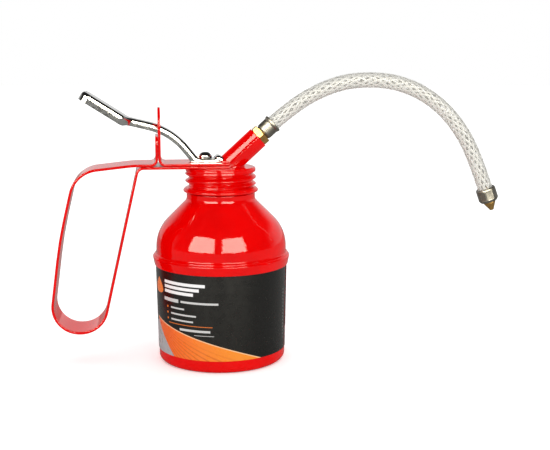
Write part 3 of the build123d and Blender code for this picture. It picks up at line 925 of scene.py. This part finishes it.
# ---- cap
def cap():
    """Rolled screw cap: flat top with a round edge, threaded wall, flared and curled rim."""
    top = CAP_HIGH.z
    low = CAP_LOW.z
    steps = 46
    wall_low, wall_top = low + 2.5, top - 1.7

    def radius(angle, z):
        wave = thread_wave(angle, z) * smooth(wall_low - 0.2, wall_low + 1.4, z)
        wall = CAP_ROOT_R + (CAP_CREST_R - CAP_ROOT_R) * wave
        return wall + (CAP_CREST_R - 0.25 - wall) * smooth(wall_top - 0.9, wall_top, z)

    def outline(angle):
        heights = [wall_low + (wall_top - wall_low) * i / steps for i in range(steps + 1)]
        outer = [(radius(angle, z), z) for z in heights]
        inner = [(r - SHEET, min(z, top - SHEET - 0.8)) for r, z in reversed(outer)]
        foot = rounded([
            (17.35, low + 1.6),
            (17.35, low),
            (18.2, low),
            (CAP_HIGH.x, low + 0.9),
            (17.6, low + 2.0),
            (CAP_ROOT_R + 0.2, wall_low - 0.05),
        ], [0, 0.2, 0.4, 0.5, 0.6, 0], step=20)
        shoulder = rounded([
            (outer[-1][0], wall_top),
            (outer[-1][0], top),
            (0, top),
            (0, top - SHEET),
            (inner[0][0], top - SHEET),
            (inner[0][0], inner[0][1]),
        ], [0, 1.0, 0, 0, 0.4, 0], step=12)
        return foot[:-1] + outer[:-1] + shoulder[:-1] + inner

    rod_hole = prism(circle(2.0, PUMP_X), top - 3, top + 3)
    outlet_hole = prism(circle(1.5, 4.5), top - 3, top + 3)
    body = bored(lathe(outline), [rod_hole, outlet_hole])
    return finished("threaded_cap", body, "red_enamel", "pump_head", ["screw_cap"])


# ---- straps
def strap(path, half_width_at):
    """A strap of even thickness along an X-Z line, with rounded edges and eased ends."""
    path = divided(path, 1.6)
    runs = lengths(path)
    total = runs[-1]
    easing = [STRAP_EDGE * (1 - math.cos(math.radians(t))) for t in (0, 30, 60, 90)]
    stations = [(point, ahead_at(path, i), run) for i, (point, run) in enumerate(zip(path, runs))]
    first, last = stations[0], stations[-1]
    head = [(first[0] + first[1] * e, first[1], e) for e in easing[:-1]]
    tail = [(last[0] - last[1] * e, last[1], total - e) for e in reversed(easing[:-1])]
    middle = [s for s in stations if STRAP_EDGE < s[2] < total - STRAP_EDGE]
    bm = bmesh.new()
    rings = []
    for point, ahead, run in head + middle + tail:
        gap = min(run, total - run, STRAP_EDGE)
        thin = STRAP_EDGE - math.sqrt(STRAP_EDGE ** 2 - (STRAP_EDGE - gap) ** 2)
        half_t = STRAP_T / 2 - thin
        half_w = half_width_at(run, total) - thin
        edge = min(STRAP_EDGE, half_t - 0.02)
        normal = Vector((-ahead.y, ahead.x))
        corners = [(half_w, half_t), (-half_w, half_t), (-half_w, -half_t), (half_w, -half_t)]
        rings.append([
            (point.x + normal.x * v, u, point.y + normal.y * v)
            for u, v in rounded(corners, [edge] * 4, closed=True, step=22.5)
        ])
    made = skin(bm, rings)
    bm.faces.new(reversed(made[0]))
    bm.faces.new(made[-1])
    return bm


def round_end(gap, radius):
    """Half width of a strap near an end with rounded corners."""
    if gap >= radius:
        return STRAP_W / 2
    return STRAP_W / 2 - radius + math.sqrt(radius ** 2 - (radius - gap) ** 2)


def strap_holes():
    """The room that the piston rod and the spout need in a strap."""
    rod_hole = prism(circle(2.2, PUMP_X), 90, 110)
    spout_hole = prism(circle(SPOUT_R + 0.05), -12, 30, SPOUT_PLACE)
    return [rod_hole, spout_hole]


def handle():
    """Closed loop handle with its tab up the bracket and its return along the cap."""
    low, high = span("handle_strap")
    tab_x = BRACKET_X - STRAP_T - 0.05
    path = rounded([
        (tab_x, high.z),
        (tab_x, UPPER_STRAP_Z),
        (-42.5, UPPER_STRAP_Z),
        (-70.3, 95.6),
        (-78.4, 62.5),
        (-84.9, 16.6),
        (-59.2, 16.6),
        (-40.3, LOWER_STRAP_Z),
        (STRAP_END_X, LOWER_STRAP_Z),
    ], [0, 3.0, 60.0, 14.5, 200.0, 13.0, 13.0, 3.4, 0], step=3)
    body = strap(path, lambda run, total: round_end(run, 3.0))
    body = bored(body, strap_holes())
    return finished("grip_strap", body, "red_enamel", "pump_head", ["handle_strap"])


def bracket():
    """Upright bracket with a round top, its window and its foot along the cap."""
    path = rounded([
        (BRACKET_X, BRACKET_HIGH.z),
        (BRACKET_X, UPPER_STRAP_Z),
        (STRAP_END_X, UPPER_STRAP_Z),
    ], [0, 3.0, 0], step=6)
    body = strap(path, lambda run, total: round_end(run + 0.01, 8.0))
    half_window = 5.3
    window_height = 119.4 - SILL_Z
    arch = [(STRAP_T / 2 * math.cos(t), STRAP_T / 2 * math.sin(t))
            for t in (math.pi * i / 10 for i in range(11))]
    outline = [(-4, 0), (-4, window_height), (4, window_height), (4, 0), *arch]
    upright = Matrix(((1, 0, 0, BRACKET_X), (0, 0, 1, 0), (0, 1, 0, SILL_Z), (0, 0, 0, 1)))
    window = prism(outline, -half_window, half_window, upright)
    body = bored(body, [window, *strap_holes()])
    return finished("window_bracket", body, "red_enamel", "pump_head", ["lever_bracket"])


# ---- lever
def lever_line():
    """Top line of the pressed lever in the X-Z plane, from the pad's end to the curled tip."""
    slope = math.radians(32.6)
    pad_start = Vector((-44.7, 121.3))
    pad_end = pad_start + 24.6 * Vector((-math.cos(slope), math.sin(slope)))
    return divided(rounded([
        pad_end,
        (-45.0, 121.45),
        (-23.0, 116.1),
        (-10.7, TAB_TOP_Z),
        (-3.3, TAB_TOP_Z),
        (-2.0, TAB_TOP_Z + 2.5),
    ], [0, 9.0, 34.0, 3.0, 1.6, 0], step=4), 0.7)


def lever_half_outline(total):
    """Half of the lever's flat plan as (length along the top line, half width)."""
    pad_half, arm_half = 8.5, 4.8
    return divided(rounded([
        (0, 0),
        (0, pad_half),
        (22.6, pad_half),
        (26.8, arm_half),
        (total, arm_half),
        (total, 0),
    ], [0, 4.2, 2.6, 2.6, 1.7, 0], step=6), 0.9)


class TopLine:
    """The lever's top line, with places given by the length along it and the depth below it."""

    def __init__(self):
        self.points = lever_line()
        self.runs = lengths(self.points)
        self.total = self.runs[-1]

    def slope(self, i):
        """Direction of the line at its point i, where the two ends count as their neighbours."""
        return ahead_at(self.points, min(max(i, 1), len(self.points) - 2))

    def at(self, run):
        """Point and outward normal of the top line."""
        run = min(max(run, 0), self.total)
        runs, points = self.runs, self.points
        i = min(next(k for k in range(len(runs) - 1) if runs[k + 1] >= run - 1e-9), len(points) - 2)
        share = (run - runs[i]) / (runs[i + 1] - runs[i])
        ahead = self.slope(i).lerp(self.slope(i + 1), share).normalized()
        return points[i].lerp(points[i + 1], share), Vector((-ahead.y, ahead.x))

    def rim(self, run):
        """How far the rim is turned down: deepest on the pad, only the sheet's thickness at the flat end."""
        pad_rim, arm_rim = 4.6, 3.7
        full = pad_rim + (arm_rim - pad_rim) * smooth(23.5, 25.2, run)
        point, normal = self.at(run)
        above_tab = point.y - (TAB_TOP_Z - LEVER_T)
        return max(LEVER_T, min(full, above_tab / max(normal.y, 0.2) - 0.02))

    def placed(self, run, side, drop):
        """The 3-D point at a place on the plan, a drop below the top line."""
        point, normal = self.at(run)
        return point.x - normal.x * drop, side, point.y - normal.y * drop


def rim_section(rim):
    """Section through a turned-down rim, as (inset, drop) lists for its outer and its inner side."""
    corner = 0.35 + 1.45 * smooth(LEVER_T, 2.9, rim)
    centre, bend = 1.8, 0.7  # inset and drop of the inner bend's centre, and its radius
    turns = [math.radians(t) for t in (0, 18, 36, 54, 72, 90)]
    outer = [(corner * (1 - math.sin(t)), corner * (1 - math.cos(t))) for t in turns]
    outer += [(0.0, corner + (rim - corner) * k / 4) for k in range(1, 5)]
    inner = [(centre - bend * math.sin(t), min(rim, centre - bend * math.cos(t))) for t in turns]
    inner += [(LEVER_T, max(inner[-1][1], rim * k / 4)) for k in range(1, 5)]
    return outer, inner


def lever_ring(line, spot, inward):
    """One closed ring through the lever: over its top from rim to rim, and back along the inside."""
    across = 8
    outer, inner = rim_section(line.rim(spot.x))
    ring = []
    for fall, over in ((outer, False), (inner, True)):
        column = [(spot + inward * inset, drop) for inset, drop in fall]
        crown, crown_drop = column[0]
        left = [line.placed(p.x, p.y, drop) for p, drop in reversed(column)]
        middle = [line.placed(crown.x, crown.y * (1 - 2 * k / across), crown_drop)
                  for k in range(1, across)]
        right = [line.placed(p.x, -p.y, drop) for p, drop in column]
        line_across = left + middle + right
        ring += reversed(line_across) if over else line_across
    return ring


def keyhole():
    """Cutter for the lever's keyhole: a wide part for the rod's head and a slot for the rod."""
    wide, narrow = 3.7, 1.8
    start, neck, end = -18.5, -10.6, -5.6
    return prism(rounded([
        (start, wide),
        (start, -wide),
        (neck, -wide),
        (neck, -narrow),
        (end, -narrow),
        (end, narrow),
        (neck, narrow),
        (neck, wide),
    ], [0.6, 0.6, 0.6, 0.3, 1.75, 1.75, 0.3, 0.6], closed=True, step=15), 90, 109)


def pressed_lever():
    """Pressed channel lever: thumb pad with its rim turned down, curved arm and flat keyhole end."""
    line = TopLine()
    half = lever_half_outline(line.total)
    rings = []
    for i, spot in enumerate(half):
        before = half[i - 1] if i else Vector((half[1].x, -half[1].y))
        after = half[i + 1] if i + 1 < len(half) else Vector((half[-2].x, -half[-2].y))
        ahead = (after - before).normalized()
        rings.append(lever_ring(line, spot, Vector((ahead.y, -ahead.x))))
    bm = bmesh.new()
    skin(bm, rings)
    bmesh.ops.remove_doubles(bm, verts=bm.verts, dist=0.01)
    bmesh.ops.dissolve_degenerate(bm, dist=0.005, edges=bm.edges)
    body = bored(bm, [keyhole()])
    return finished("pressed_lever", body, "bright_chrome", "lever", ["lever"])


def domed_head():
    """Domed rivet head on top of the piston rod."""
    low, high = HEAD_LOW.z, HEAD_HIGH.z
    radius = HEAD_HIGH.x - PUMP_X
    outline = rounded([
        (0, low),
        (radius, low),
        (radius, low + 1.5),
        (radius * 0.55, high),
        (0, high),
    ], [0, 0.3, 1.2, 2.6, 0], closed=True, step=9)
    place = Matrix.Translation((PUMP_X, 0, 0))
    return finished("domed_head", lathe(outline, 96), "bright_chrome", "piston", ["rod_head"], place)


# ---- spout
def spout():
    """Slanting tube with a rounded mouth, cut flat on the cap's top."""
    outline = rounded([
        (SPOUT_R, -9),
        (SPOUT_R, SPOUT_LENGTH),
        (SPOUT_R - 0.9, SPOUT_LENGTH),
        (SPOUT_R - 0.9, -9),
    ], [0, 0.35, 0.25, 0], closed=True, step=15)
    bm = lathe(outline, 128)
    bmesh.ops.transform(bm, matrix=SPOUT_PLACE, verts=bm.verts)
    cut = bmesh.ops.bisect_plane(
        bm,
        geom=bm.verts[:] + bm.edges[:] + bm.faces[:],
        dist=1e-5,
        plane_co=(0, 0, CAP_HIGH.z + 0.02),
        plane_no=(0, 0, -1),
        clear_outer=True,
    )
    rims = [item for item in cut["geom_cut"] if isinstance(item, bmesh.types.BMEdge)]
    bmesh.ops.bridge_loops(bm, edges=rims)
    return finished("slanted_spout", bm, "red_enamel", "pump_head", ["spout_tube"])


def braze_bead(name, height, from_angle, to_angle, radius):
    """A run of braze where the spout leaves a flat face at the given height."""
    count = 64
    slant = math.sin(SPOUT_ANGLE)
    middle_x = SPOUT_FOOT.x + (height - SPOUT_FOOT.z) / math.tan(SPOUT_ANGLE)
    rings = []
    for i in range(count + 1):
        t = math.radians(from_angle + (to_angle - from_angle) * i / count)
        ripple = 1 + 0.12 * math.sin(9.0 * t) * math.sin(4.0 * t + 1.0)
        ends = smooth(0, 5, min(i, count - i)) * 0.8 + 0.2
        size = radius * ripple * ends
        centre = Vector((middle_x + SPOUT_R / slant * math.cos(t), SPOUT_R * math.sin(t), height))
        out = Vector((math.cos(t), math.sin(t) / slant, 0)).normalized()
        rings.append([
            centre + out * size * math.cos(a) + Vector((0, 0, 1)) * size * math.sin(a)
            for a in full_turn(12)
        ])
    bm = bmesh.new()
    capped_skin(bm, rings)
    return finished(name, bm, "red_enamel", "pump_head")


def adapter():
    """Brass hexagon with chamfered corners, its plug in the spout and its barb in the hose."""
    bevel = 0.35

    def outline(angle):
        flat = polygon_radius(angle, HEX_ACROSS, 6)
        rim = min(flat, HEX_ACROSS / 2 + 0.1)
        chamfer = min(bevel, bevel * (flat - rim) / 0.4 + 0.06)
        return [
            (1.3, -7.0),
            (4.2, -7.0),
            (4.58, -6.4),
            (4.58, 0.0),
            (rim, 0.02),
            (flat, chamfer),
            (flat, HEX_T - chamfer),
            (rim, HEX_T),
            (1.9, HEX_T),
            (1.9, HEX_T + 1.6),
            (2.17, HEX_T + 2.8),
            (1.8, HEX_T + 4.6),
            (2.17, HEX_T + 4.9),
            (1.7, HEX_T + 7.0),
            (1.3, HEX_T + 7.0),
        ]

    hexagon = lathe(outline, 180)
    return finished("hexagon_adapter", hexagon, "brass", "pump_head", ["hose_adapter"], MOUTH_PLACE)


def ferrule():
    """Plated sleeve that widens towards the hose and ends in a turned-out lip."""
    near = HEX_T + 0.05
    outline = rounded([
        (2.4, near),
        (3.7, near),
        (4.25, near + 1.0),
        (4.3, near + 5.4),
        (4.75, near + 6.3),
        (4.75, near + 7.2),
        (4.4, near + 7.2),
        (HOSE_R + 0.02, near + 6.3),
        (HOSE_R + 0.02, near + 1.0),
        (2.4, near + 0.7),
    ], [0.1, 0.5, 0.6, 0.8, 0.3, 0.15, 0.1, 0.3, 0.1, 0.1], closed=True, step=12)
    sleeve = lathe(outline, 128)
    return finished("lipped_sleeve", sleeve, "plated_steel", "pump_head", ["hose_ferrule"], MOUTH_PLACE)


cup()
dome()
label_band()
cap()
handle()
bracket()
pressed_lever()
domed_head()
spout()
braze_bead("braze_front", CAP_HIGH.z + 0.1, -75, 75, 0.75)
braze_bead("braze_back", CAP_HIGH.z + 2 * STRAP_T + 0.15, 105, 255, 0.75)
adapter()
ferrule()


# ---- CAD nodes that keep their shape
SLOT_OF = {
    "cap_gasket": "seal_rubber",
    "piston_seal": "seal_leather",
    "rod_packing": "seal_leather",
    "return_spring": "spring_steel",
    "outlet_spring": "spring_steel",
    "piston_rod": "plated_steel",
    "pump_barrel": "plated_steel",
    "suction_tube": "plated_steel",
    "transfer_tube": "plated_steel",
    "inlet_ball": "spring_steel",
    "piston_ball": "spring_steel",
    "outlet_ball": "spring_steel",
    "inlet_ball_pin": "plated_steel",
}
for name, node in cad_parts.items():
    if node.hide_render:
        continue
    slot = SLOT_OF.get(name, "brass")
    node.data.materials.clear()
    node.data.materials.append(MATERIALS[slot])


def shorten(name):
    """Gives a spring its own copy of its mesh, so that it no longer shares its mesh data."""
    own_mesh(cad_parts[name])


shorten("return_spring")
shorten("outlet_spring")


# ---- studio
def floor():
    """Wide pale floor. It is darker in reflections, and glows a little where the camera sees it directly."""
    bm = bmesh.new()
    bmesh.ops.create_circle(bm, cap_ends=True, radius=3.0, segments=96)
    mesh = bpy.data.meshes.new("floor")
    bm.to_mesh(mesh)
    bm.free()
    finish = Finish("floor", (0.9, 0.9, 0.9), roughness=0.9)
    finish.shader.inputs["Specular IOR Level"].default_value = 0
    rays = finish.tree.nodes.new("ShaderNodeLightPath")
    mirrored = Field(finish.tree, rays.outputs["Is Glossy Ray"])
    pale = finish.mix(finish.noise(0.2, 3), (0.93, 0.93, 0.93), (0.96, 0.96, 0.96))
    finish.link(finish.mix(mirrored, pale, (0.30, 0.30, 0.29)), "Base Color")
    finish.shader.inputs["Emission Color"].default_value = (1, 1, 1, 1)
    finish.link(Field(finish.tree, rays.outputs["Is Camera Ray"]) * 0.3, "Emission Strength")
    mesh.materials.append(finish.material)
    piece = added("floor", mesh)


def softbox(name, azimuth, width):
    """A soft upright light that faces the can; azimuth 0 is in front of it.
    It only makes highlights on glossy surfaces, and the surroundings light the matt ones."""
    height = 1.39
    distance = 1.60
    radiance = 12.5
    target_z = 0.815
    data = bpy.data.lights.new(name, "AREA")
    data.shape = "RECTANGLE"
    data.size, data.size_y = width, height
    data.color = (1.0, 0.94, 0.80)
    data.energy = radiance * width * height * math.pi
    light = added(name, data)
    turn = math.radians(azimuth)
    back = Vector((math.sin(turn), -math.cos(turn), 0))
    light.location = Vector((0, 0, target_z)) + back * distance
    light.rotation_mode = "QUATERNION"
    light.rotation_quaternion = back.to_track_quat("Z", "Y")
    light.visible_camera = False
    light.visible_diffuse = False


def surroundings():
    """White sweep behind the can, dark room in front of it; an even fill for matt surfaces.
    The camera itself sees plain white."""
    world = bpy.data.worlds.new("studio")
    bpy.context.scene.world = world
    world.use_nodes = True
    tree = world.node_tree
    background = next(n for n in tree.nodes if n.type == "BACKGROUND")
    direction = tree.nodes.new("ShaderNodeTexCoord").outputs["Generated"]
    _, y, z = axes(tree, direction)
    sweep = y.step(-0.05, 0.45) * (z * -1).step(-0.55, -0.30)
    rays = tree.nodes.new("ShaderNodeLightPath")
    seen = Field(tree, rays.outputs["Is Camera Ray"])
    spread = Field(tree, rays.outputs["Is Diffuse Ray"])
    strength = (sweep * 0.72 + 0.03).op("MAXIMUM", spread * 1.1).op("MAXIMUM", seen)
    tree.links.new(strength.socket, background.inputs["Strength"])
    background.inputs["Color"].default_value = (1, 1, 1, 1)


floor()
softbox("softbox_left", -38.5, 1.32)
softbox("softbox_right", 19.5, 1.24)
surroundings()
bpy.context.scene.view_settings.view_transform = "Standard"
